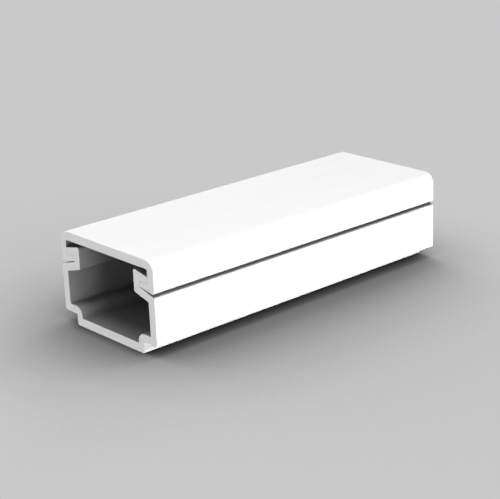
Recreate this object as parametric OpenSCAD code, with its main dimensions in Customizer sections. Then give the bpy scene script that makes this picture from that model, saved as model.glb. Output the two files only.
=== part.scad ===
// Mini cable trunking: an extruded channel with a clip-on lid, cut to a short length.
// The section lies in X and Z and runs along Y. The origin is under the middle of the foot.
// Each half of a section is a list of corners [x, z, radius], and the other half is its mirror image.

/* [Overall] */
// Cut length of the trunking
trunk_l = 39.9; // [10:0.1:200]
// Width over the side walls
trunk_w = 15; // [13:0.5:60]
// Height from the foot to the top of the lid
trunk_h = 9.85; // [8.5:0.05:40]

/* [Base] */
// Thickness of the side walls
wall_t = 0.9; // [0.7:0.05:1.2]
// Thickness of the floor
floor_t = 0.9; // [0.7:0.05:1.2]
// Thickness of the web round each foot notch and of the shoulders
web_t = 0.85; // [0.7:0.05:1.1]
// How far the foot is set in from each side
foot_inset = 2; // [1.5:0.1:4]
// Height of the notch beside the foot
foot_h = 1.2; // [1:0.05:2]
// Slope of the shoulders, falling outwards
shoulder_a = 15.5; // [8:0.5:20]

/* [Snap rails] */
// Thickness of each rail's stem
rail_t = 0.9; // [0.7:0.05:1.2]
// How far each barb stands out from its stem
barb_w = 1.25; // [0.8:0.05:1.6]
// Thickness of each barb at its tip
barb_t = 0.65; // [0.4:0.05:0.8]
// Slope of the ramp that the lid's hook rides over
ramp_a = 11.5; // [6:0.5:13]

/* [Lid] */
// Thickness of the lid's top and legs
lid_t = 0.9; // [0.7:0.05:1.1]
// Height of the lid's sides
lid_side_h = 3.37; // [3.2:0.01:4]
// Thickness of each hook at its tip
hook_t = 0.6; // [0.4:0.05:0.7]
// Radius of the lid's top corners
lid_r = 1.15; // [0.5:0.05:2]

/* [Fits] */
// Clearance between the lid's hooks and the base's rails
snap_gap = 0.02; // [0.01:0.01:0.05]
// Opening of the groove between lid and base at the outside
seam_gap = 0.24; // [0.1:0.02:0.4]

/* [Edges] */
// Radius of the outer edges of the walls, the foot and the rails
edge_r = 0.25; // [0.1:0.05:0.3]
// Radius of the lid's lower outer edges
leg_edge_r = 0.3; // [0.1:0.05:0.35]
// Radius of the base's outer edge at the groove
shoulder_edge_r = 0.15; // [0.05:0.05:0.3]
// Radius inside the foot notch
notch_r = 0.1; // [0.05:0.05:0.3]
// Radius of the fillets inside the channel
fillet_r = 0.15; // [0.05:0.05:0.3]
// Radius of the tips of the barbs and hooks
tip_r = 0.12; // [0.06:0.02:0.18]

/* [Hidden] */
$fn = 64;

// How far a cut runs past each end of the trunking
cut_past = 1;
// Size of the kite that holds a corner's rounding, so that it reaches past the corner
kite_scale = 1.2;
// How far a rounding's arc stands past the two faces that it blends
arc_overlap = 0.00002;
// Shortest flat between two roundings
flat_min = 0.03;

// Places across the width, from the side towards the middle
side_x = trunk_w / 2;
wall_x = side_x - wall_t;
leg_x = side_x - lid_t;
barb_x = leg_x - snap_gap;
stem_x = barb_x - barb_w;
hook_x = stem_x + snap_gap;
rail_x = stem_x - rail_t;
foot_x = side_x - foot_inset;
web_x = foot_x - web_t;

// Heights of the groove and of what snaps together above the shoulder
leg_z = trunk_h - lid_side_h;
seam_z = leg_z - seam_gap;
stem_z = shoulder_z(stem_x);
hook_low_z = stem_z + snap_gap;
hook_z = hook_low_z + hook_t;
barb_z = hook_z + snap_gap;
barb_top_z = barb_z + barb_t;
rail_top_z = barb_top_z + (barb_x - rail_x) * tan(ramp_a);
lid_under_z = trunk_h - lid_t;

// Height of the web over the foot notch, and the shoulder's thickness measured upright
web_z = foot_h + web_t;
shoulder_t = web_t / cos(shoulder_a);

// Roundings that follow from their neighbours, each limited by the wall that it is on
inside_tip_r = tip_r / 2;
lid_inside_r = max(min(lid_r - lid_t, lid_under_z - barb_top_z), inside_tip_r);
floor_fillet_r = min(fillet_r, (web_z - floor_t) / 4);
web_r = min(notch_r + web_t, web_z - floor_t - floor_fillet_r - flat_min);

// Height of the shoulder's upper face at a distance x from the middle
function shoulder_z(x) = seam_z + (side_x - x) * tan(shoulder_a);

function direction(v) = v / norm(v);
function place(corner) = [corner[0], corner[1]];
function neighbour(corners, i) = place(corners[(i + len(corners)) % len(corners)]);
function mirrored(corners) =
    [for (i = [len(corners) - 1:-1:0]) [-corners[i][0], corners[i][1], corners[i][2]]];

// Right half of the base, from under the foot up the outside and down the inside
base_half = [
    [foot_x, 0, edge_r],
    [foot_x, foot_h, notch_r],
    [side_x, foot_h, edge_r],
    [side_x, seam_z, shoulder_edge_r],
    [stem_x, stem_z, inside_tip_r],
    [stem_x, barb_z, inside_tip_r],
    [barb_x, barb_z, tip_r],
    [barb_x, barb_top_z, tip_r],
    [rail_x, rail_top_z, edge_r],
    [rail_x, shoulder_z(rail_x) - shoulder_t, edge_r],
    [wall_x, shoulder_z(wall_x) - shoulder_t, fillet_r],
    [wall_x, web_z, fillet_r],
    [web_x, web_z, web_r],
    [web_x, floor_t, floor_fillet_r]
];

// Right half of the lid, from the inside corner round the hook and up the outside
lid_half = [
    [leg_x, lid_under_z, lid_inside_r],
    [leg_x, hook_z, inside_tip_r],
    [hook_x, hook_z, tip_r],
    [hook_x, hook_low_z, tip_r],
    [side_x, leg_z, leg_edge_r],
    [side_x, trunk_h, lid_r]
];

// What lies between a sharp corner p, with neighbours a and b, and its rounding.
// It reaches past the corner and its arc crosses both edges, so that no face lies on another.
module corner_sliver(a, p, b, r) {
    to_a = direction(a - p);
    to_b = direction(b - p);
    half_angle = acos(to_a * to_b) / 2;
    reach = r / tan(half_angle);
    outwards = -direction(to_a + to_b) * r / sin(half_angle);
    kite = [[0, 0], outwards + to_a * reach, outwards, outwards + to_b * reach];
    translate(p - outwards) difference() {
        polygon(kite_scale * kite);
        circle(r + arc_overlap);
    }
}

// Slivers at the corners that turn one way: 1 for outer corners, -1 for inner ones
module corner_slivers(corners, way) {
    for (i = [0:len(corners) - 1]) {
        a = neighbour(corners, i - 1);
        p = place(corners[i]);
        b = neighbour(corners, i + 1);
        if (cross(p - a, b - p) * way > 0) corner_sliver(a, p, b, corners[i][2]);
    }
}

// An outline run along Y
module run(length) {
    rotate([90, 0, 0]) linear_extrude(height = length, center = true) children();
}

// A whole section run along Y, with its inner corners filled and its outer corners cut
module extrusion(half) {
    corners = concat(half, mirrored(half));
    difference() {
        union() {
            run(trunk_l) polygon([for (corner = corners) place(corner)]);
            run(trunk_l) corner_slivers(corners, -1);
        }
        run(trunk_l + 2 * cut_past) corner_slivers(corners, 1);
    }
}

// Channel with its foot, walls, shoulders and snap rails
module base() {
    color("white") extrusion(base_half);
}

// Cover with its legs and hooks
module lid() {
    color("white") extrusion(lid_half);
}

base();
lid();
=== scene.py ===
"""A short length of two-piece mini cable trunking in white PVC, with a plain studio around it."""

import math
from types import SimpleNamespace

import bmesh
import bpy
from bpy.props import FloatProperty, FloatVectorProperty, IntProperty, PointerProperty
from mathutils import Matrix, Quaternion, Vector


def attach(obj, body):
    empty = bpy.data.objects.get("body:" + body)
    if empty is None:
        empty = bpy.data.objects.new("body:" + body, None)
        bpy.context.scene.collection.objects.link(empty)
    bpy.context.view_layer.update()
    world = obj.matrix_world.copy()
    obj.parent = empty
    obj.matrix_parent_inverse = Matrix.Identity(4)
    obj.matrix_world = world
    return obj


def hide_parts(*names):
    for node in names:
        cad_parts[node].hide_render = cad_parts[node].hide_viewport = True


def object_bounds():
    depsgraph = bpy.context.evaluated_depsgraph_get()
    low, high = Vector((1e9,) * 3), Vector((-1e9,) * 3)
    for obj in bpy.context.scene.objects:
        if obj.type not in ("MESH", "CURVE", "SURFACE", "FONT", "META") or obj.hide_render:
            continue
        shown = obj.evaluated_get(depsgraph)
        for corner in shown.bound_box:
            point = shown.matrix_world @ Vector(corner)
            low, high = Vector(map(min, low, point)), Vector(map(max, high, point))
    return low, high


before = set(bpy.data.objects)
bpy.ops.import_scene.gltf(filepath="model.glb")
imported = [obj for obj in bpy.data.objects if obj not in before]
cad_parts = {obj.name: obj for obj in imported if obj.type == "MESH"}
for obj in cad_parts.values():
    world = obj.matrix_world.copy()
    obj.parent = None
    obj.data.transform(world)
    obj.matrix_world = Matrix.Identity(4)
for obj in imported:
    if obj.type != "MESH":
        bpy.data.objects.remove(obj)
CAD_LOW, CAD_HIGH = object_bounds()
CAD_SIZE = CAD_HIGH - CAD_LOW

bl_info = {
    "name": "Cable Trunking",
    "version": (1, 0, 0),
    "blender": (4, 5, 0),
    "location": "3D View > Sidebar > Trunking",
    "description": "Builds a length of mini trunking with its clip-on lid, and a studio for it",
    "category": "Add Mesh",
}

MM = 0.001
BLACK = (0.0, 0.0, 0.0)

# The floor's side in metres, and how far under the foot the floor and the flags lie
FLOOR_SIDE = 10
FLOOR_DROP = 0.01 * MM
FLAG_DROP = 0.05 * MM

# Sockets of a Mix node that mixes colours
MIX_FACTOR, MIX_A, MIX_B, MIX_RESULT = 0, 6, 7, 2

# Levels that a noise texture mostly stays between, and its octaves in clouds and in fine lines
NOISE_LOW, NOISE_HIGH = 0.3, 0.7
CLOUD_DETAIL, LINE_DETAIL = 2, 3

# Rays that find how far a place on the floor is closed in, for the floor's painted shadow
PAINTED_SHADOW_SAMPLES = 16

# The camera's sensor width in mm, and the range of distances that it sees
SENSOR_WIDTH = 36
VIEW_FROM, VIEW_TO = 1 * MM, 20

# Corners of a mesh that are closer than this are one corner
MERGE_DISTANCE = 0.001 * MM

# Soft lights: azimuth and elevation in degrees, distance and size in mm, and brightness.
# The low ones shine through the floor, so that the groove and the channel stay dark.
LIGHTS = {
    "top_light": (256, 72, 600, 150, 0.99),
    "right_light": (98, -18, 600, 150, 1.0),
    "front_light": (0, -1.5, 600, 30, 0.48),
    "window_light": (75, -4, 150, 60, 0.16),
    "near_light": (70, 60, 80, 40, 0.115),
    "mouth_light": (0, 75, 300, 80, 0.055),
    "left_light": (262, -18, 600, 150, 0.5),
    "back_light": (180, -1.5, 600, 30, 0.5),
}


# Properties

def size(name, description, millimetres):
    """A property for a length, whose default is given in millimetres."""
    return FloatProperty(
        name=name,
        description=description,
        default=millimetres * MM,
        unit="LENGTH",
        subtype="DISTANCE",
        precision=5,
    )


def angle(name, description, degrees):
    """A property for an angle, whose default is given in degrees."""
    return FloatProperty(
        name=name,
        description=description,
        default=math.radians(degrees),
        unit="ROTATION",
        subtype="ANGLE",
    )


def share(name, description, default):
    """A property for a share from 0 to 1."""
    return FloatProperty(
        name=name,
        description=description,
        default=default,
        min=0,
        max=1,
        subtype="FACTOR",
    )


def strength(name, description, default):
    """A property for the strength of a light or an effect."""
    return FloatProperty(name=name, description=description, default=default, min=0)


def colour(name, description, grey):
    """A property for a colour, whose default is a neutral grey."""
    return FloatVectorProperty(
        name=name,
        description=description,
        default=(grey, grey, grey),
        min=0,
        max=1,
        subtype="COLOR",
    )


class TrunkingSizes(bpy.types.PropertyGroup):
    """Sizes of the section and the cut length."""

    length: size("Length", "Cut length of the trunking", CAD_SIZE.y / MM)
    width: size("Width", "Width over the side walls", CAD_SIZE.x / MM)
    height: size("Height", "Height from the foot to the top of the lid", CAD_SIZE.z / MM)
    wall: size("Wall", "Thickness of the side walls", 0.9)
    floor: size("Floor", "Thickness of the floor", 0.9)
    web: size("Web", "Thickness round each foot notch and of the shoulders", 0.85)
    foot_inset: size("Foot inset", "How far the foot is set in from each side", 2.0)
    foot_height: size("Foot height", "Height of the notch beside the foot", 1.2)
    shoulder_slope: angle("Shoulder slope", "Slope of the shoulders, falling outwards", 15.5)
    rail: size("Rail", "Thickness of each rail's stem", 0.9)
    barb_reach: size("Barb reach", "How far each barb stands out from its stem", 1.25)
    barb_tip: size("Barb tip", "Thickness of each barb at its tip", 0.65)
    ramp_slope: angle("Ramp slope", "Slope of the ramp that a hook rides over", 11.5)
    lid_wall: size("Lid wall", "Thickness of the lid's top and legs", 0.9)
    lid_side: size("Lid side", "Height of the lid's sides", 3.345)
    hook_tip: size("Hook tip", "Thickness of each hook at its tip", 0.56)
    hook_lift: size("Hook lift", "How far each hook's tip stands off the shoulder", 0.06)
    snap_gap: size("Snap gap", "Clearance between hooks and rails", 0.02)
    seam_gap: size("Seam gap", "Opening of the groove between lid and base", 0.265)
    lid_radius: size("Lid radius", "Radius of the lid's top corners", 1.15)
    edge_radius: size("Edge radius", "Radius of the outer edges of walls, foot and rails", 0.25)
    leg_radius: size("Leg radius", "Radius of the lid's lower outer edges", 0.3)
    shoulder_radius: size("Shoulder radius", "Radius of the base's edge at the groove", 0.15)
    notch_radius: size("Notch radius", "Radius inside the foot notch", 0.1)
    fillet_radius: size("Fillet radius", "Radius of the fillets inside the channel", 0.15)
    tip_radius: size("Tip radius", "Radius of the tips of barbs and hooks", 0.12)
    flat_min: size("Shortest flat", "Shortest flat between two roundings", 0.03)
    arc_steps: IntProperty(
        name="Arc steps",
        description="Faces in each rounded corner",
        default=14,
        min=2,
    )


class TrunkingFinish(bpy.types.PropertyGroup):
    """Colours, gloss and fine marks of the PVC."""

    pvc: colour("PVC", "Colour of the PVC", 0.90)
    skin_shade: colour("Skin shade", "Colour of the faint clouds in the extruded skin", 0.885)
    skin_roughness: share("Skin roughness", "Roughness of the extruded skin", 0.38)
    skin_change: share("Skin change", "How much the roughness changes across the die lines", 0.12)
    cloud_width: size("Cloud width", "Width of the clouds in the skin", 3.0)
    cloud_length: size("Cloud length", "Length of the clouds in the skin", 12.0)
    die_line_width: size("Die line width", "Width of the fine lines along the run", 0.3)
    die_line_length: size("Die line length", "Length of the fine lines along the run", 40.0)
    die_line_depth: size("Die line depth", "Depth of the fine lines along the run", 0.002)
    sawn_shade: colour("Sawn shade", "Colour of the faint streaks on the sawn ends", 0.86)
    sawn_roughness: share("Sawn roughness", "Roughness of the sawn ends", 0.6)
    sawn_change: share("Sawn change", "How much the roughness changes across the saw marks", 0.2)
    patch_size: size("Patch size", "Size of the faint patches on the sawn ends", 2.0)
    patch_share: share("Patch share", "How much of the sawn shade is patches and not streaks", 0.4)
    saw_mark_width: size("Saw mark width", "Width of the marks on the sawn ends", 0.12)
    saw_mark_length: size("Saw mark length", "Length of the marks on the sawn ends", 6.0)
    saw_mark_depth: size("Saw mark depth", "Depth of the marks on the sawn ends", 0.004)
    saw_mark_slope: angle("Saw mark slope", "Slope of the marks on the sawn ends", 11.5)


class TrunkingStudio(bpy.types.PropertyGroup):
    """Camera, light and floor."""

    camera_azimuth: angle("Camera azimuth", "Way round the part, from its near end", 48.49)
    camera_elevation: angle("Camera elevation", "Height of the view above the horizon", 18.99)
    camera_roll: angle("Camera roll", "Tilt of the camera about its line of sight", -2.12)
    camera_distance: size("Camera distance", "From the camera to the point it looks at", 155.0)
    camera_lens: size("Focal length", "Focal length for a 36 mm wide sensor", 102.76)
    aim: FloatVectorProperty(
        name="Aim",
        description="Point that the camera looks at",
        default=(-1.78 * MM, 0.56 * MM, 3.72 * MM),
        unit="LENGTH",
        subtype="TRANSLATION",
        precision=5,
    )
    floor: colour("Floor", "Tone of the floor and of what shows past it", 0.584)
    # Painted shadow on the floor's glow round the part: its darkest tone, its reach and its lean
    shade: share("Shade", "Tone of the floor where the part closes it in", 0.065)
    painted_shadow_reach: size("Shade reach", "How far from the part the floor darkens", 60.0)
    painted_shadow_lean: share("Shade lean", "How far the light on the floor leans from the far end", 0.4)
    # Painted contact shadow on the floor's glow along the foot: its tone and its width
    painted_contact_shadow: share("Contact", "Tone of the line where the foot stands", 0.2)
    painted_contact_reach: size("Contact reach", "How wide that line is", 1.3)
    flag_inner: size("Flag inner edge", "From the middle to each flag under the floor", 6.5)
    flag_outer: size("Flag outer edge", "From the middle to each flag's far edge", 10.0)
    flag_stop: share("Flag stop", "Share of the low light that a flag stops", 0.42)
    sky: strength("Sky", "Brightness of the even light from all round", 0.11)


# Section

def section_places(sizes):
    """Distances from the middle, heights and the rounding inside the snap that the base and the lid share."""
    at = SimpleNamespace()
    at.side_x = sizes.width / 2
    at.wall_x = at.side_x - sizes.wall
    at.leg_x = at.side_x - sizes.lid_wall
    at.barb_x = at.leg_x - sizes.snap_gap
    at.stem_x = at.barb_x - sizes.barb_reach
    at.hook_x = at.stem_x + sizes.snap_gap
    at.rail_x = at.stem_x - sizes.rail
    at.foot_x = at.side_x - sizes.foot_inset
    at.web_x = at.foot_x - sizes.web

    at.leg_z = sizes.height - sizes.lid_side
    at.seam_z = at.leg_z - sizes.seam_gap
    at.stem_z = shoulder_z(sizes, at, at.stem_x)
    at.hook_low_z = at.stem_z + sizes.hook_lift
    at.hook_z = at.hook_low_z + sizes.hook_tip
    at.barb_z = at.hook_z + sizes.snap_gap
    at.barb_top_z = at.barb_z + sizes.barb_tip
    at.rail_top_z = at.barb_top_z + (at.barb_x - at.rail_x) * math.tan(sizes.ramp_slope)
    at.lid_under_z = sizes.height - sizes.lid_wall
    at.web_z = sizes.foot_height + sizes.web

    at.inside_tip = sizes.tip_radius / 2
    return at


def shoulder_z(sizes, at, x):
    """Height of the shoulder's upper face at a distance x from the middle."""
    return at.seam_z + (at.side_x - x) * math.tan(sizes.shoulder_slope)


def base_half(sizes):
    """Right half of the base as (x, z, radius), from under the foot up the outside and down the inside."""
    at = section_places(sizes)
    shoulder = sizes.web / math.cos(sizes.shoulder_slope)
    floor_fillet = min(sizes.fillet_radius, (at.web_z - sizes.floor) / 4)
    web_room = at.web_z - sizes.floor - floor_fillet - sizes.flat_min
    web_radius = min(sizes.notch_radius + sizes.web, web_room)
    return [
        (at.foot_x, 0, sizes.edge_radius),
        (at.foot_x, sizes.foot_height, sizes.notch_radius),
        (at.side_x, sizes.foot_height, sizes.edge_radius),
        (at.side_x, at.seam_z, sizes.shoulder_radius),
        (at.stem_x, at.stem_z, at.inside_tip),
        (at.stem_x, at.barb_z, at.inside_tip),
        (at.barb_x, at.barb_z, sizes.tip_radius),
        (at.barb_x, at.barb_top_z, sizes.tip_radius),
        (at.rail_x, at.rail_top_z, sizes.edge_radius),
        (at.rail_x, shoulder_z(sizes, at, at.rail_x) - shoulder, sizes.edge_radius),
        (at.wall_x, shoulder_z(sizes, at, at.wall_x) - shoulder, sizes.fillet_radius),
        (at.wall_x, at.web_z, sizes.fillet_radius),
        (at.web_x, at.web_z, web_radius),
        (at.web_x, sizes.floor, floor_fillet),
    ]


def lid_half(sizes):
    """Right half of the lid as (x, z, radius), from the inside corner round the hook and up the outside."""
    at = section_places(sizes)
    inside_room = min(sizes.lid_radius - sizes.lid_wall, at.lid_under_z - at.barb_top_z)
    return [
        (at.leg_x, at.lid_under_z, max(inside_room, at.inside_tip)),
        (at.leg_x, at.hook_z, at.inside_tip),
        (at.hook_x, at.hook_z, sizes.tip_radius),
        (at.hook_x, at.hook_low_z, sizes.tip_radius),
        (at.side_x, at.leg_z, sizes.leg_radius),
        (at.side_x, sizes.height, sizes.lid_radius),
    ]


# Mesh

def round_corner(bm, corner, before, after, radius, steps):
    """Bevels one vertex of a flat outline so that it has this radius."""
    half_angle = (before - corner.co).angle(after - corner.co) / 2
    bmesh.ops.bevel(
        bm,
        geom=[corner],
        offset=radius / math.tan(half_angle),
        offset_type="OFFSET",
        segments=steps,
        profile=0.5,
        affect="VERTICES",
        material=-1,
    )


def rounded_section(bm, half, steps):
    """A whole section as flat faces in X and Z: half of it with round corners, and its mirror image."""
    first_z, last_z = half[0][1], half[-1][1]
    places = [Vector((x, 0, z)) for x, z, _ in [(0, first_z, 0), *half, (0, last_z, 0)]]
    corners = [bm.verts.new(place) for place in places]
    bm.faces.new(corners)
    for i, (_, _, radius) in enumerate(half, start=1):
        round_corner(bm, corners[i], places[i - 1], places[i + 1], radius, steps)
    bmesh.ops.mirror(
        bm,
        geom=bm.verts[:] + bm.edges[:] + bm.faces[:],
        matrix=Matrix.Identity(4),
        merge_dist=MERGE_DISTANCE,
        axis="X",
    )
    return bm.faces[:]


def extruded_mesh(name, half, sizes):
    """A section run along Y between two sawn ends, as a closed mesh. The ends take the second material."""
    bm = bmesh.new()
    section = rounded_section(bm, half, sizes.arc_steps)
    run = Vector((0, sizes.length, 0))
    bmesh.ops.translate(bm, verts=bm.verts, vec=-run / 2)
    made = bmesh.ops.extrude_face_region(bm, geom=section)["geom"]
    far_verts = [item for item in made if isinstance(item, bmesh.types.BMVert)]
    bmesh.ops.translate(bm, verts=far_verts, vec=run)
    bmesh.ops.recalc_face_normals(bm, faces=bm.faces)
    for face in bm.faces:
        # A sawn end faces along the run, and every other face across it
        sawn = abs(face.normal.y) > 0.5
        face.smooth = not sawn
        face.material_index = int(sawn)
    if not all(edge.is_manifold for edge in bm.edges):
        raise RuntimeError(f"the mesh of {name} is not closed")
    mesh = bpy.data.meshes.new(name)
    bm.to_mesh(mesh)
    bm.free()
    return mesh


def add_extrusion(context, name, half, node):
    """A finished piece of trunking that stands for a CAD node and rides on the body of the same name."""
    mesh = extruded_mesh(name, half, context.scene.trunking_sizes)
    for make in (extruded_pvc, sawn_pvc):
        mesh.materials.append(make(context.scene.trunking_finish))
    piece = bpy.data.objects.new(name, mesh)
    context.scene.collection.objects.link(piece)
    flats = piece.modifiers.new("Flats stay flat", "WEIGHTED_NORMAL")
    flats.mode = "FACE_AREA"
    flats.keep_sharp = True
    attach(piece, node)
    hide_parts(node)


# Materials

class Wire:
    """A shader socket for use in Python expressions, each of which adds its Math nodes."""

    def __init__(self, tree, socket=None):
        self.tree = tree
        self.socket = socket

    def add(self, kind, settings=None, inputs=None, output=0):
        """Adds a node with these settings and socket values or links, and returns one of its outputs."""
        node = self.tree.nodes.new("ShaderNode" + kind)
        for name, value in (settings or {}).items():
            setattr(node, name, value)
        for name, value in (inputs or {}).items():
            if isinstance(value, Wire):
                self.tree.links.new(value.socket, node.inputs[name])
            else:
                node.inputs[name].default_value = value
        return Wire(self.tree, node.outputs[output])

    def __add__(self, other):
        return self.add("Math", {"operation": "ADD"}, {0: self, 1: other})

    __radd__ = __add__

    def __sub__(self, other):
        return self.add("Math", {"operation": "SUBTRACT"}, {0: self, 1: other})

    def __rsub__(self, other):
        return self.add("Math", {"operation": "SUBTRACT"}, {0: other, 1: self})

    def __mul__(self, other):
        return self.add("Math", {"operation": "MULTIPLY"}, {0: self, 1: other})

    __rmul__ = __mul__

    def __pow__(self, other):
        return self.add("Math", {"operation": "POWER"}, {0: self, 1: other})

    def __rpow__(self, other):
        return self.add("Math", {"operation": "POWER"}, {0: other, 1: self})


def opaque(rgb):
    """A colour with full alpha, as a socket takes it."""
    return (*rgb, 1.0)


def new_material(name):
    """A material with a Principled shader, as the material, its first wire and the shader."""
    material = bpy.data.materials.new(name)
    material.use_nodes = True
    shader = material.node_tree.nodes["Principled BSDF"]
    return material, Wire(material.node_tree), shader


def feed(wire, shader, socket):
    """Links a wire to one socket of a shader."""
    wire.tree.links.new(wire.socket, shader.inputs[socket])


def stretched_noise(wire, wave_lengths, detail, slope=0.0):
    """Noise from 0 to 1 on the piece's own coordinates, with a wave length for each axis and a slope."""
    place = wire.add("TexCoord", output="Object")
    stretch = {"Vector": place, "Rotation": (0, slope, 0), "Scale": wave_lengths}
    stretched = wire.add("Mapping", {"vector_type": "TEXTURE"}, stretch)
    noise = wire.add("TexNoise", {}, {"Vector": stretched, "Scale": 1.0, "Detail": detail})
    return wire.add("MapRange", {}, {"Value": noise, "From Min": NOISE_LOW, "From Max": NOISE_HIGH})


def mixed(wire, factor, first, second):
    """A colour between two others."""
    return wire.add(
        "Mix",
        {"data_type": "RGBA"},
        {MIX_FACTOR: factor, MIX_A: opaque(first), MIX_B: opaque(second)},
        MIX_RESULT,
    )


def score(wire, shader, lines, roughness, change, depth):
    """Gives a surface fine lines, which change its roughness and are cut to this depth."""
    feed(roughness + change * (lines - 0.5), shader, "Roughness")
    feed(wire.add("Bump", {}, {"Height": lines, "Distance": depth}), shader, "Normal")


def extruded_pvc(finish):
    """Satin skin of the extrusion, with faint clouds and fine die lines along the run."""
    material, wire, shader = new_material("extruded_pvc")
    cloud_waves = (finish.cloud_width, finish.cloud_length, finish.cloud_width)
    clouds = stretched_noise(wire, cloud_waves, CLOUD_DETAIL)
    line_waves = (finish.die_line_width, finish.die_line_length, finish.die_line_width)
    lines = stretched_noise(wire, line_waves, LINE_DETAIL)
    feed(mixed(wire, clouds, finish.pvc, finish.skin_shade), shader, "Base Color")
    score(wire, shader, lines, finish.skin_roughness, finish.skin_change, finish.die_line_depth)
    return material


def sawn_pvc(finish):
    """Dull face of a sawn end, with faint patches and fine marks across it."""
    material, wire, shader = new_material("sawn_pvc")
    patches = stretched_noise(wire, [finish.patch_size] * 3, CLOUD_DETAIL)
    mark_waves = (finish.saw_mark_length, finish.saw_mark_length, finish.saw_mark_width)
    marks = stretched_noise(wire, mark_waves, LINE_DETAIL, finish.saw_mark_slope)
    tone = patches * finish.patch_share + marks * (1 - finish.patch_share)
    feed(mixed(wire, tone, finish.pvc, finish.sawn_shade), shader, "Base Color")
    score(wire, shader, marks, finish.sawn_roughness, finish.sawn_change, finish.saw_mark_depth)
    return material


def openness(wire, reach, lean=0.0):
    """How open the surface is from above, or from a way that leans towards the far end, which sets how dark
    the floor's painted shadow is.
    """
    up = wire.add("VectorMath", {"operation": "NORMALIZE"}, {0: (0, lean, 1)})
    return wire.add("AmbientOcclusion", {"samples": PAINTED_SHADOW_SAMPLES}, {"Normal": up, "Distance": reach}, "AO")


def studio_floor(studio):
    """Floor that glows evenly, like a light table, and darkens softly in a painted shadow where the part
    closes it in, darkest in a painted contact shadow along the foot.
    """
    material, wire, shader = new_material("studio_floor")
    # Painted shadow round the part, from how closed in the floor is, weaker behind the far end
    straight = openness(wire, studio.painted_shadow_reach)
    leaning = openness(wire, studio.painted_shadow_reach, studio.painted_shadow_lean)
    far = wire.add("Math", {"operation": "MAXIMUM"}, {0: straight, 1: leaning})
    # Painted contact shadow along the foot, which multiplies the painted shadow into the floor's glow
    near = openness(wire, studio.painted_contact_reach)
    tone = studio.shade ** (1 - far) * studio.painted_contact_shadow ** (1 - near)
    feed(mixed(wire, tone, BLACK, studio.floor), shader, "Emission Color")
    shader.inputs["Emission Strength"].default_value = 1.0
    shader.inputs["Base Color"].default_value = opaque(BLACK)
    shader.inputs["Specular IOR Level"].default_value = 0.0
    return material


def studio_flag(studio):
    """Thin black gauze, which stops a share of the light."""
    material, _, shader = new_material("studio_flag")
    shader.inputs["Base Color"].default_value = opaque(BLACK)
    shader.inputs["Alpha"].default_value = studio.flag_stop
    return material


# Stage

def way_to(azimuth, elevation):
    """Direction from the part: azimuth 0 is in front of its near end, and 90 is at its right side."""
    across = math.cos(elevation)
    return Vector((math.sin(azimuth) * across, -math.cos(azimuth) * across, math.sin(elevation)))


def add_sheets(context, name, sheets, material):
    """Flat level sheets of the stage, each given by its middle, width and length."""
    bm = bmesh.new()
    for middle, width, length in sheets:
        half_sides = Matrix.Diagonal((width / 2, length / 2, 1, 1))
        place = Matrix.Translation(middle) @ half_sides
        bmesh.ops.create_grid(bm, x_segments=1, y_segments=1, size=1, matrix=place)
    mesh = bpy.data.meshes.new(name)
    bm.to_mesh(mesh)
    bm.free()
    mesh.materials.append(material)
    piece = bpy.data.objects.new(name, mesh)
    context.scene.collection.objects.link(piece)
    return piece


def add_floor(context, studio):
    """A large flat floor just under the foot, which neither lights the part nor shades it."""
    middle = Vector((0, 0, CAD_LOW.z - FLOOR_DROP))
    floor = add_sheets(context, "floor", [(middle, FLOOR_SIDE, FLOOR_SIDE)], studio_floor(studio))
    floor.visible_diffuse = False
    floor.visible_shadow = False


def add_flags(context, studio):
    """A dim strip under the floor along each side, which keeps some of the low light off the foot."""
    width = studio.flag_outer - studio.flag_inner
    sheets = []
    for way in (-1, 1):
        middle = Vector((way * (studio.flag_inner + width / 2), 0, CAD_LOW.z - FLAG_DROP))
        sheets.append((middle, width, CAD_SIZE.y))
    flags = add_sheets(context, "flags", sheets, studio_flag(studio))
    flags.visible_camera = False
    flags.visible_diffuse = False
    flags.visible_glossy = False


def add_sky(context, studio):
    """Weak light from all round, which the camera sees in the floor's tone."""
    world = bpy.data.worlds.new("studio")
    context.scene.world = world
    world.use_nodes = True
    wire = Wire(world.node_tree)
    sky = world.node_tree.nodes["Background"]
    seen = wire.add("LightPath", output="Is Camera Ray")
    feed(mixed(wire, seen, [studio.sky] * 3, studio.floor), sky, "Color")


def add_lights(context):
    """Soft square lights round the part. Brightness is that of a white face square to the light."""
    for name, (azimuth, elevation, distance, side, brightness) in LIGHTS.items():
        data = bpy.data.lights.new(name, "AREA")
        data.size = side * MM
        data.energy = brightness * (math.pi * distance * MM) ** 2
        light = bpy.data.objects.new(name, data)
        way = way_to(math.radians(azimuth), math.radians(elevation))
        light.location = (CAD_LOW + CAD_HIGH) / 2 + way * distance * MM
        light.rotation_euler = way.to_track_quat("Z", "Y").to_euler()
        light.visible_camera = False
        context.scene.collection.objects.link(light)


def add_camera(context, studio):
    """The camera, at the viewing angle of the part's picture."""
    data = bpy.data.cameras.new("camera")
    data.sensor_width = SENSOR_WIDTH
    data.lens = studio.camera_lens / MM
    data.clip_start = VIEW_FROM
    data.clip_end = VIEW_TO
    camera = bpy.data.objects.new("camera", data)
    way = way_to(studio.camera_azimuth, studio.camera_elevation)
    camera.location = Vector(studio.aim) + way * studio.camera_distance
    camera.rotation_mode = "QUATERNION"
    level = way.to_track_quat("Z", "Y")
    camera.rotation_quaternion = level @ Quaternion((0, 0, 1), studio.camera_roll)
    context.scene.collection.objects.link(camera)
    context.scene.camera = camera


# Operators

class TRUNKING_OT_add_base(bpy.types.Operator):
    """Add the channel with its foot, walls, shoulders and barbed rails"""

    bl_idname = "trunking.add_base"
    bl_label = "Add Base"
    bl_options = {"REGISTER", "UNDO"}

    def execute(self, context):
        add_extrusion(context, "trunking_base", base_half(context.scene.trunking_sizes), "base")
        return {"FINISHED"}


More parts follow.
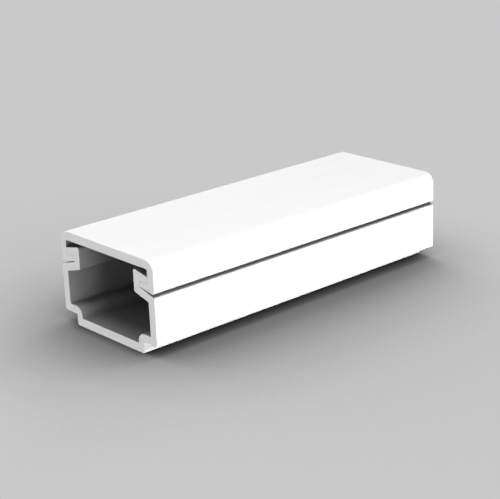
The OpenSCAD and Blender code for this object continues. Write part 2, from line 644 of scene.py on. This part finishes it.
class TRUNKING_OT_add_lid(bpy.types.Operator):
    """Add the lid with its legs and hooks"""

    bl_idname = "trunking.add_lid"
    bl_label = "Add Lid"
    bl_options = {"REGISTER", "UNDO"}

    def execute(self, context):
        add_extrusion(context, "trunking_lid", lid_half(context.scene.trunking_sizes), "lid")
        return {"FINISHED"}


class TRUNKING_OT_add_stage(bpy.types.Operator):
    """Add the floor, the light and the camera"""

    bl_idname = "trunking.add_stage"
    bl_label = "Add Stage"
    bl_options = {"REGISTER", "UNDO"}

    def execute(self, context):
        studio = context.scene.trunking_studio
        add_lights(context)
        add_floor(context, studio)
        add_flags(context, studio)
        add_sky(context, studio)
        add_camera(context, studio)
        context.scene.view_settings.view_transform = "Standard"
        # No light passes from one surface to another, so that the channel and the groove stay dark
        context.scene.cycles.diffuse_bounces = 0
        return {"FINISHED"}


class TRUNKING_PT_sidebar(bpy.types.Panel):
    """Lists the pieces and their settings"""

    bl_idname = "TRUNKING_PT_sidebar"
    bl_label = "Cable Trunking"
    bl_space_type = "VIEW_3D"
    bl_region_type = "UI"
    bl_category = "Trunking"

    def draw(self, context):
        layout = self.layout
        for operator in (TRUNKING_OT_add_base, TRUNKING_OT_add_lid, TRUNKING_OT_add_stage):
            layout.operator(operator.bl_idname)
        scene = context.scene
        for group in (scene.trunking_sizes, scene.trunking_finish, scene.trunking_studio):
            box = layout.box()
            for name in group.__annotations__:
                box.prop(group, name)


CLASSES = (
    TrunkingSizes,
    TrunkingFinish,
    TrunkingStudio,
    TRUNKING_OT_add_base,
    TRUNKING_OT_add_lid,
    TRUNKING_OT_add_stage,
    TRUNKING_PT_sidebar,
)


def register():
    """Registers the classes and gives every scene its settings."""
    for cls in CLASSES:
        bpy.utils.register_class(cls)
    bpy.types.Scene.trunking_sizes = PointerProperty(type=TrunkingSizes)
    bpy.types.Scene.trunking_finish = PointerProperty(type=TrunkingFinish)
    bpy.types.Scene.trunking_studio = PointerProperty(type=TrunkingStudio)


def unregister():
    """Takes the settings off the scenes and removes the classes."""
    del bpy.types.Scene.trunking_studio
    del bpy.types.Scene.trunking_finish
    del bpy.types.Scene.trunking_sizes
    for cls in reversed(CLASSES):
        bpy.utils.unregister_class(cls)


def main():
    """Builds the part and its stage."""
    register()
    bpy.ops.trunking.add_base()
    bpy.ops.trunking.add_lid()
    bpy.ops.trunking.add_stage()


if __name__ == "__main__":
    main()
